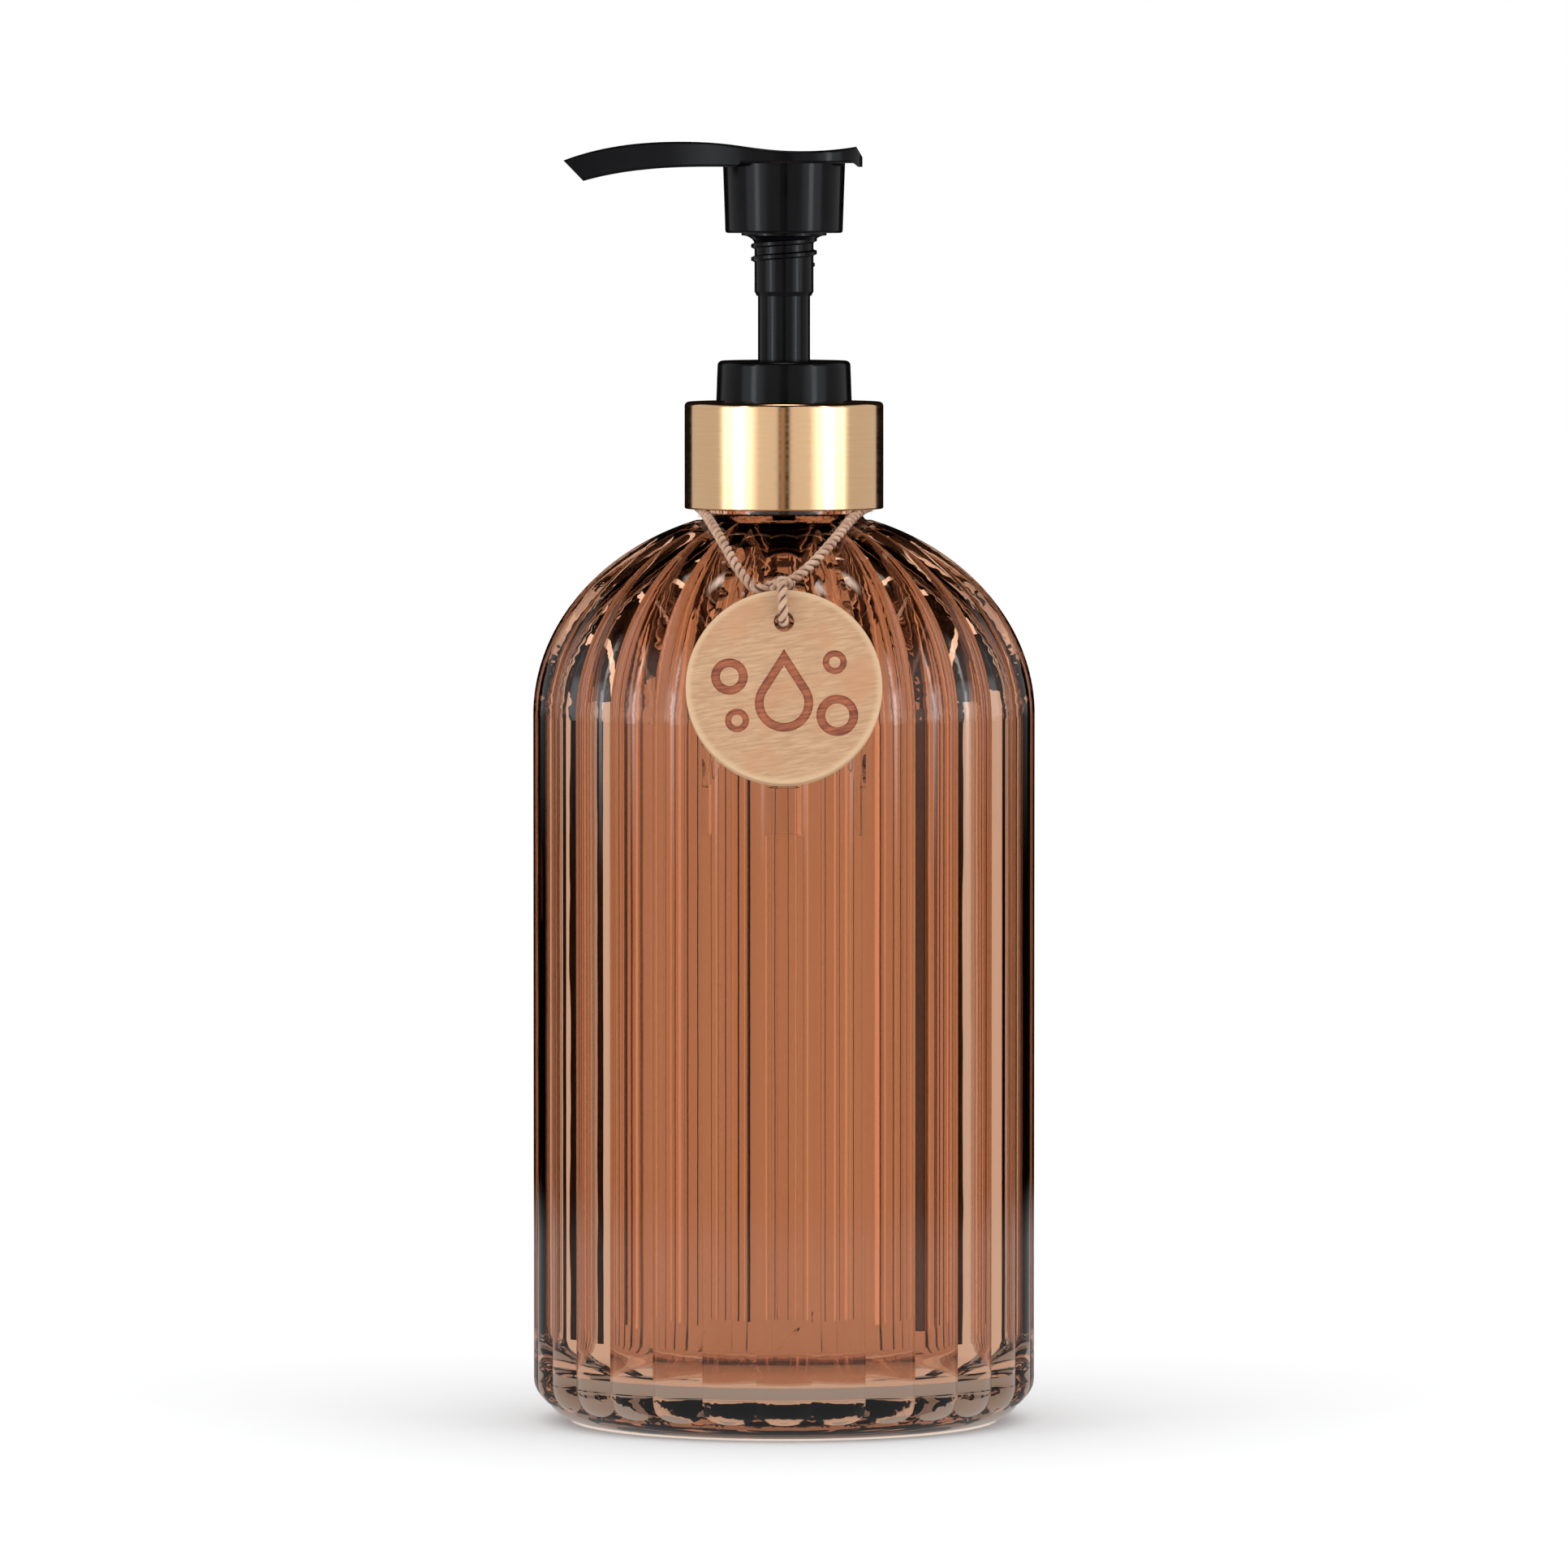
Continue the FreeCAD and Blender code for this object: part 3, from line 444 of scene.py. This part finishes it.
def black_plastic():
    values = {
        "Cloud_Scale": 120.0,
        "Grain_Scale": 2600.0,
        "Deep": (0.0015, 0.0015, 0.002, 1),
        "Pale": (0.004, 0.004, 0.005, 1),
        "Smooth": 0.12,
        "Rough": 0.19,
    }
    finish = finish_material("black_plastic", (1, 1, 1), values, bump=0.12, bump_distance=0.03 * MM)
    material, nodes, shader = finish
    nodes.feed(shader, "Specular IOR Level", 0.14)
    return material


def clear_plastic():
    values = {
        "Cloud_Scale": 200.0,
        "Grain_Scale": 900.0,
        "Deep": (0.985, 0.99, 0.99, 1),
        "Pale": (1, 1, 1, 1),
        "Smooth": 0.02,
        "Rough": 0.08,
    }
    material, nodes, shader = finish_material("clear_plastic", (1, 1, 0.4), values)
    nodes.feed(shader, "Transmission Weight", 1.0)
    nodes.feed(shader, "IOR", 1.015)
    return material


def soft_seal():
    values = {
        "Cloud_Scale": 400.0,
        "Grain_Scale": 1800.0,
        "Deep": (0.55, 0.52, 0.48, 1),
        "Pale": (0.66, 0.63, 0.58, 1),
        "Smooth": 0.5,
        "Rough": 0.6,
    }
    return finish_material("soft_seal", (1, 1, 1), values, bump=0.15)[0]


def steel():
    values = {
        "Cloud_Scale": 500.0,
        "Grain_Scale": 1500.0,
        "Deep": (0.52, 0.53, 0.54, 1),
        "Pale": (0.68, 0.69, 0.70, 1),
        "Smooth": 0.16,
        "Rough": 0.30,
    }
    return finish_material("steel", (1, 1, 8), values, metallic=1.0, bump=0.1)[0]


FINISHES = {
    "bottle": amber_glass(),
    "collar_shell": gilt_aluminium(),
    "housing_cap": black_plastic(),
    "dip_tube": clear_plastic(),
    "neck_gasket": soft_seal(),
    "inlet_ball": steel(),
}
SAME_FINISH = {
    "collar_liner": "housing_cap",
    "pump_stem": "housing_cap",
    "actuator_head": "housing_cap",
    "stem_seal": "neck_gasket",
    "pump_housing": "dip_tube",
    "ball_cage": "dip_tube",
    "stem_plug": "dip_tube",
    "piston": "dip_tube",
    "return_spring": "inlet_ball",
}


def paint(node, material):
    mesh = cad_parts[node].data
    mesh.materials.clear()
    mesh.materials.append(material)


for node, material in FINISHES.items():
    paint(node, material)
for node, like in SAME_FINISH.items():
    paint(node, FINISHES[like])


# ---- geometry node tools ----
class Shaping:
    """A geometry node tree with named inputs, built node by node."""

    def __init__(self, name, **inputs):
        self.tree = bpy.data.node_groups.new(name, "GeometryNodeTree")
        face = self.tree.interface
        face.new_socket("Geometry", in_out="INPUT", socket_type="NodeSocketGeometry")
        kinds = {float: "NodeSocketFloat", int: "NodeSocketInt", bpy.types.Material: "NodeSocketMaterial"}
        self.keys = {}
        self.values = inputs
        for title, value in inputs.items():
            socket = face.new_socket(title, in_out="INPUT", socket_type=kinds[type(value)])
            self.keys[title] = socket.identifier
        face.new_socket("Geometry", in_out="OUTPUT", socket_type="NodeSocketGeometry")
        self.given = self.add("NodeGroupInput")
        self.result = self.add("NodeGroupOutput")

    def add(self, kind, values=None, **settings):
        node = self.tree.nodes.new(kind)
        for name, value in settings.items():
            setattr(node, name, value)
        for name, value in (values or {}).items():
            self.feed(node.inputs[name], value)
        return node

    def feed(self, socket, value):
        if isinstance(value, bpy.types.NodeSocket):
            self.tree.links.new(value, socket)
        else:
            socket.default_value = value

    def input(self, title):
        return self.given.outputs[title]

    def math(self, operation, *values):
        return self.add("ShaderNodeMath", dict(enumerate(values)), operation=operation).outputs[0]

    def scaled(self, vector, factor):
        node = self.add("ShaderNodeVectorMath", {0: vector}, operation="SCALE")
        self.feed(node.inputs["Scale"], factor)
        return node.outputs[0]

    def fixed(self, vector):
        return self.add("FunctionNodeInputVector", vector=vector).outputs[0]

    def plus(self, one, other):
        return self.add("ShaderNodeVectorMath", {0: one, 1: other}, operation="ADD").outputs[0]

    def store(self, geometry, name, value, kind):
        values = {"Geometry": geometry, "Name": name, "Value": value}
        settings = {"data_type": kind, "domain": "POINT"}
        return self.add("GeometryNodeStoreNamedAttribute", values, **settings).outputs[0]

    def circle(self, resolution, radius):
        values = {"Resolution": resolution, "Radius": radius}
        return self.add("GeometryNodeCurvePrimitiveCircle", values).outputs[0]

    def swept(self, line, profile, caps):
        """The mesh of a profile that runs along a line, with closed ends or open ones."""
        values = {"Curve": line, "Profile Curve": profile, "Fill Caps": caps}
        return self.add("GeometryNodeCurveToMesh", values).outputs[0]

    def finish(self, geometry, material):
        real = self.add("GeometryNodeRealizeInstances", {"Geometry": geometry}).outputs[0]
        coated = self.add("GeometryNodeSetMaterial", {"Geometry": real, "Material": material}).outputs[0]
        self.tree.links.new(coated, self.result.inputs[0])

    def make(self, name, source):
        """The finished mesh object that the tree makes from a source mesh."""
        carrier = bpy.data.objects.new(name + "_source", source)
        bpy.context.scene.collection.objects.link(carrier)
        modifier = carrier.modifiers.new("shape", "NODES")
        modifier.node_group = self.tree
        for title, value in self.values.items():
            modifier[self.keys[title]] = value
        graph = bpy.context.evaluated_depsgraph_get()
        seen = carrier.evaluated_get(graph)
        mesh = bpy.data.meshes.new_from_object(seen, preserve_all_data_layers=True, depsgraph=graph)
        bpy.data.objects.remove(carrier)
        mesh.name = name
        mesh.polygons.foreach_set("use_smooth", [True] * len(mesh.polygons))
        made = bpy.data.objects.new(name, mesh)
        bpy.context.scene.collection.objects.link(made)
        return made


# ---- twine ----
PLY_RADIUS = 0.46 * MM
LAY_RADIUS = 0.39 * MM
LAY_PITCH = 3.4 * MM
LAY_STEP = 0.16 * MM  # between the rings of points along a ply
LAY_WOBBLE = 0.9  # the most that the noise turns the lay by, in radians
WOBBLE_SCALE = 420.0
PLY_SIDES = 10
TWINE_SEED = 7
FIBRE_LENGTH = 0.9 * MM
FIBRE_RADIUS = 0.018 * MM
FIBRE_SIDES = 3
FIBRE_STEPS = 4
FIBRE_DENSITY = 1.2e6  # fibres on a square metre of ply
SMALLEST_FIBRE = 0.35  # as a share of the longest
# A stray fibre's Bezier points, as shares of its length, with the ply's surface at z = 0.
FIBRE_BEND = (
    ("Start", (0, 0, 0)),
    ("Start Handle", (0.1, 0, 0.5)),
    ("End Handle", (0.5, 0, 0.6)),
    ("End", (0.9, 0.1, 0.45)),
)
# The knot's middle, the half sizes of its turns, and what sets the second turn off the first, in millimetres.
KNOT_AT = (-0.2, -34.2, 135.6)
KNOT_HALF_WIDTH = 1.25
KNOT_HALF_HEIGHT = 0.8
KNOT_HALF_DEPTH = 0.35
KNOT_SIDE_SHIFT = 0.35
KNOT_RISE_SHIFT = 0.25
KNOT_DEPTH_SHIFT = 0.75
KNOT_STEPS = 120

# The twine's route from the knot round the back of the neck and back to the knot, in millimetres.
NECK_TWINE = [
    (-1.7, -33.4, 136.1),
    (-4.2, -33.4, 134.8),
    (-6.0, -31.0, 136.6),
    (-7.9, -27.6, 139.2),
    (-10.0, -21.4, 142.8),
    (-11.4, -15.8, 144.9),
    (-12.3, -10.6, 146.1),
    (-13.2, -5.6, 147.2),
    (-14.3, 0.6, 147.7),
    (-12.4, 7.2, 147.7),
    (-7.2, 12.4, 147.7),
    (0.4, 14.4, 147.7),
    (7.8, 12.1, 147.7),
    (12.7, 6.5, 147.7),
    (14.2, -0.4, 147.6),
    (12.7, -6.2, 147.2),
    (10.9, -11.6, 146.0),
    (9.9, -16.0, 144.9),
    (8.5, -20.8, 143.3),
    (6.1, -26.2, 140.8),
    (3.4, -30.4, 138.1),
    (0.9, -33.0, 136.5),
]
# The loop from the knot, over the tag's rim, through its hole and up behind it.
TAG_LOOP = [
    (-0.5, -35.1, 136.2),
    (-0.4, -37.7, 137.0),
    (-0.3, -40.9, 136.3),
    (-0.2, -42.5, 133.6),
    (-0.1, -42.4, 130.8),
    (0.0, -38.8, 129.9),
    (-0.3, -36.4, 130.3),
    (-0.7, -35.6, 132.3),
    (-0.8, -34.3, 134.2),
]


def smooth_line(name, route):
    """A line of points along the NURBS spline that has the route as its control points, in metres."""
    curve = bpy.data.curves.new(name, "CURVE")
    curve.dimensions = "3D"
    curve.resolution_u = 24
    spline = curve.splines.new("NURBS")
    spline.points.add(len(route) - 1)
    for point, place in zip(spline.points, route):
        point.co = (*(v * MM for v in place), 1.0)
    spline.order_u = 3
    spline.use_endpoint_u = True
    carrier = bpy.data.objects.new(name, curve)
    mesh = bpy.data.meshes.new_from_object(carrier)
    bpy.data.objects.remove(carrier)
    return mesh


def twine_shaping(material):
    """Two plies laid round a line, with stray fibres standing off them."""
    tree = Shaping(
        "laid_twine",
        PlyRadius=PLY_RADIUS,
        LayRadius=LAY_RADIUS,
        Pitch=LAY_PITCH,
        FibreLength=FIBRE_LENGTH,
        FibreDensity=FIBRE_DENSITY,
        Seed=TWINE_SEED,
        Material=material,
    )
    line = tree.add("GeometryNodeMeshToCurve", {"Mesh": tree.given.outputs[0]}).outputs[0]
    values = {"Curve": line, "Length": LAY_STEP}
    line = tree.add("GeometryNodeResampleCurve", values, mode="LENGTH").outputs[0]
    line = tree.store(line, "centre", tree.add("GeometryNodeInputPosition").outputs[0], "FLOAT_VECTOR")
    along = tree.add("GeometryNodeSplineParameter").outputs["Length"]
    normal = tree.add("GeometryNodeInputNormal").outputs[0]
    tangent = tree.add("GeometryNodeInputTangent").outputs[0]
    side = tree.add("ShaderNodeVectorMath", {0: tangent, 1: normal}, operation="CROSS_PRODUCT").outputs[0]
    turn = tree.math("MULTIPLY", tree.math("DIVIDE", along, tree.input("Pitch")), 2 * math.pi)
    wobble = tree.add("ShaderNodeTexNoise", {"Scale": WOBBLE_SCALE, "Detail": 1.0}).outputs[0]
    turn = tree.math("ADD", turn, tree.math("MULTIPLY", wobble, LAY_WOBBLE))
    profile = tree.circle(PLY_SIDES, tree.input("PlyRadius"))
    plies = tree.add("GeometryNodeJoinGeometry")
    for phase in (0.0, math.pi):
        angle = tree.math("ADD", turn, phase)
        rise = tree.scaled(normal, tree.math("COSINE", angle))
        out = tree.plus(rise, tree.scaled(side, tree.math("SINE", angle)))
        offset = tree.scaled(out, tree.input("LayRadius"))
        ply = tree.add("GeometryNodeSetPosition", {"Geometry": line, "Offset": offset}).outputs[0]
        tree.tree.links.new(tree.swept(ply, profile, True), plies.inputs[0])
    centre = tree.add("GeometryNodeInputNamedAttribute", {"Name": "centre"}, data_type="FLOAT_VECTOR")
    values = {0: centre.outputs[0], 1: tree.add("GeometryNodeInputPosition").outputs[0]}
    outward = tree.add("ShaderNodeVectorMath", values, operation="DISTANCE").outputs["Value"]
    body = tree.store(plies.outputs[0], "outward", outward, "FLOAT")
    values = {"Mesh": body, "Density": tree.input("FibreDensity"), "Seed": tree.input("Seed")}
    spots = tree.add("GeometryNodeDistributePointsOnFaces", values)
    fibre = tree.add("GeometryNodeCurvePrimitiveBezierSegment", {"Resolution": FIBRE_STEPS})
    reach = tree.input("FibreLength")
    for socket, place in FIBRE_BEND:
        tree.feed(fibre.inputs[socket], tree.scaled(tree.fixed(place), reach))
    hair = tree.swept(fibre.outputs[0], tree.circle(FIBRE_SIDES, FIBRE_RADIUS), False)
    hair = tree.store(hair, "outward", 1.0 * MM, "FLOAT")  # past the plies, so the painted shade of the creases never falls on a fibre
    spin = tree.add("FunctionNodeRandomValue", {"Seed": tree.input("Seed")}, data_type="FLOAT")
    spin.inputs[3].default_value = 2 * math.pi
    turned = tree.add("FunctionNodeRotateEuler", space="LOCAL", rotation_type="AXIS_ANGLE")
    tree.feed(turned.inputs["Rotation"], spots.outputs["Rotation"])
    tree.feed(turned.inputs["Angle"], spin.outputs[1])
    next_seed = tree.math("ADD", tree.input("Seed"), 1)
    size = tree.add("FunctionNodeRandomValue", {"Seed": next_seed}, data_type="FLOAT")
    size.inputs[2].default_value = SMALLEST_FIBRE
    values = {"Points": spots.outputs[0], "Instance": hair, "Rotation": turned.outputs[0]}
    hairs = tree.add("GeometryNodeInstanceOnPoints", {**values, "Scale": size.outputs[1]}).outputs[0]
    whole = tree.add("GeometryNodeJoinGeometry")
    tree.tree.links.new(body, whole.inputs[0])
    tree.tree.links.new(hairs, whole.inputs[0])
    tree.finish(whole.outputs[0], tree.input("Material"))
    return tree


def knot_line():
    """The closed line of a wrap of two turns, drawn tight round the strands."""
    centre = Vector(KNOT_AT) * MM
    mesh = bpy.data.meshes.new("knot_line")
    points = []
    for step in range(KNOT_STEPS):
        turn = 4 * math.pi * step / KNOT_STEPS
        across = KNOT_HALF_WIDTH * math.cos(turn) + KNOT_SIDE_SHIFT * math.sin(turn / 2)
        up = KNOT_HALF_HEIGHT * math.sin(turn) + KNOT_RISE_SHIFT * math.cos(turn / 2)
        out = -KNOT_DEPTH_SHIFT * math.cos(turn / 2) - KNOT_HALF_DEPTH * math.sin(turn)
        points.append(centre + Vector((across, out, up)) * MM)
    mesh.from_pydata(points, [(i, (i + 1) % KNOT_STEPS) for i in range(KNOT_STEPS)], [])
    return mesh


# ---- wooden tag ----
TAG_THICKNESS = 3.0 * MM
TAG_RADIUS = 15.5 * MM
TAG_LEAN = math.radians(11.8)  # the lower edge stands out from the bottle
GRAIN_SLANT = math.radians(9)


def add_tag_finish():
    """Pale wood with fine slanting grain and a painted highlight near the edge; the engraved marks are
    scorched.
    """
    material, nodes, shader = new_material("pale_wood")
    low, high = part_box("wooden_tag")
    middle = (low + high) / 2
    centred = nodes.place(move=tuple(-v for v in middle))
    upright = nodes.mapped(centred, Rotation=(TAG_LEAN, 0, 0))
    across, depth, up = nodes.add("ShaderNodeSeparateXYZ", {"Vector": upright}).outputs
    slant = nodes.mapped(upright, Rotation=(0, GRAIN_SLANT, 0))
    stretched = nodes.mapped(slant, Scale=(0.10, 0.5, 1.0))
    grain = nodes.noise(stretched, 2600.0, detail=5.0, roughness=0.6, distortion=0.4)
    pores = nodes.noise(nodes.mapped(slant, Scale=(0.06, 0.4, 1.0)), 5200.0)
    patches = nodes.noise(upright, 130.0, detail=2.0)
    tone = nodes.mix(nodes.between(grain, 0.3, 0.7), rgb(176, 134, 98), rgb(200, 160, 122))
    tone = nodes.mix(nodes.between(patches, 0.48, 0.68, 0.0, 0.65), tone, rgb(192, 136, 96))
    tone = nodes.mix(nodes.between(pores, 0.62, 0.72, 0.0, 0.55), tone, rgb(160, 116, 82))
    squares = nodes.math("ADD", nodes.math("POWER", across, 2.0), nodes.math("POWER", up, 2.0))
    radius = nodes.math("SQRT", squares)
    # Painted highlight: the wood is painted paler near the tag's edge.
    rim_highlight = nodes.between(radius, TAG_RADIUS - 1.3 * MM, TAG_RADIUS - 0.2 * MM, 0.0, 0.7)
    tone = nodes.mix(rim_highlight, tone, rgb(214, 180, 142))
    face = -TAG_THICKNESS / 2
    sunk = nodes.between(depth, face + 0.12 * MM, face + 0.26 * MM)
    shallow = nodes.between(depth, face + 0.9 * MM, face + 0.5 * MM)
    inside = nodes.between(radius, TAG_RADIUS - 1.0 * MM, TAG_RADIUS - 1.8 * MM)
    scorch = nodes.math("MULTIPLY", nodes.math("MULTIPLY", sunk, shallow), inside)
    char = nodes.mix(nodes.between(grain, 0.3, 0.7), rgb(130, 62, 36), rgb(182, 104, 66))
    nodes.feed(shader, "Base Color", nodes.mix(scorch, tone, char))
    nodes.feed(shader, "Roughness", nodes.between(grain, 0.3, 0.7, 0.5, 0.68))
    nodes.feed(shader, "Normal", nodes.bump(nodes.math("ADD", grain, pores), 0.35, 0.08 * MM))
    paint("wooden_tag", material)


def add_twine():
    material = twine_fibre()
    tree = twine_shaping(material)
    neck_line = smooth_line("neck_line", NECK_TWINE)
    loop_line = smooth_line("loop_line", TAG_LOOP)
    neck = tree.make("neck_twine_laid", neck_line)
    loop = tree.make("tag_loop_laid", loop_line)
    knot = tree.make("twine_knot_tied", knot_line())
    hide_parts("neck_twine")
    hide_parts("tag_loop")
    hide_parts("twine_knot")
    for piece, body in ((neck, "necklace"), (knot, "necklace"), (loop, "tag")):
        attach(piece, body)


def twine_fibre():
    """Tan fibres, with painted shade that darkens the creases between the plies."""
    values = {
        "Cloud_Scale": 700.0,
        "Grain_Scale": 5200.0,
        "Deep": rgb(166, 122, 98),
        "Pale": rgb(214, 178, 150),
        "Smooth": 0.8,
        "Rough": 0.9,
    }
    material, nodes, shader = finish_material("twine", (1, 1, 1), values, bump=0.6, bump_distance=0.12 * MM)
    tone = shader.inputs["Base Color"].links[0].from_socket
    outward = nodes.add("ShaderNodeAttribute", attribute_name="outward").outputs["Fac"]
    # Painted shade: the plies are painted darker towards the creases between them.
    crease_shade = nodes.between(outward, 0.74 * MM, 0.46 * MM)
    nodes.feed(shader, "Base Color", nodes.mix(crease_shade, tone, rgb(92, 54, 38)))
    nodes.feed(shader, "Sheen Weight", 0.15)
    nodes.feed(shader, "Sheen Tint", (0.95, 0.82, 0.72, 1))
    return material


add_twine()
add_tag_finish()


# ---- return spring ----
SPRING_WIRE_RADIUS = 0.45 * MM
SPRING_TURNS = 8.0
SPRING_STEPS = 32  # in each turn
SPRING_SIDES = 12


def add_spring():
    low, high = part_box("return_spring")
    wire = SPRING_WIRE_RADIUS
    tree = Shaping(
        "coiled_spring",
        Turns=SPRING_TURNS,
        Radius=(high.x - low.x) / 2 - wire,
        Height=high.z - low.z - 2 * wire,
        Foot=low.z + wire,
        Wire=wire,
        Material=FINISHES["inlet_ball"],
    )
    values = {"Resolution": SPRING_STEPS, "Rotations": tree.input("Turns"), "Height": tree.input("Height")}
    coil = tree.add("GeometryNodeCurveSpiral", values)
    for end in ("Start Radius", "End Radius"):
        tree.feed(coil.inputs[end], tree.input("Radius"))
    lift = tree.add("ShaderNodeCombineXYZ", {"Z": tree.input("Foot")}).outputs[0]
    placed = tree.add("GeometryNodeSetPosition", {"Geometry": coil.outputs[0], "Offset": lift}).outputs[0]
    wound = tree.swept(placed, tree.circle(SPRING_SIDES, tree.input("Wire")), True)
    tree.finish(wound, tree.input("Material"))
    spring = tree.make("return_spring_coil", bpy.data.meshes.new("empty"))
    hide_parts("return_spring")
    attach(spring, "pump")
    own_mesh(spring)


add_spring()
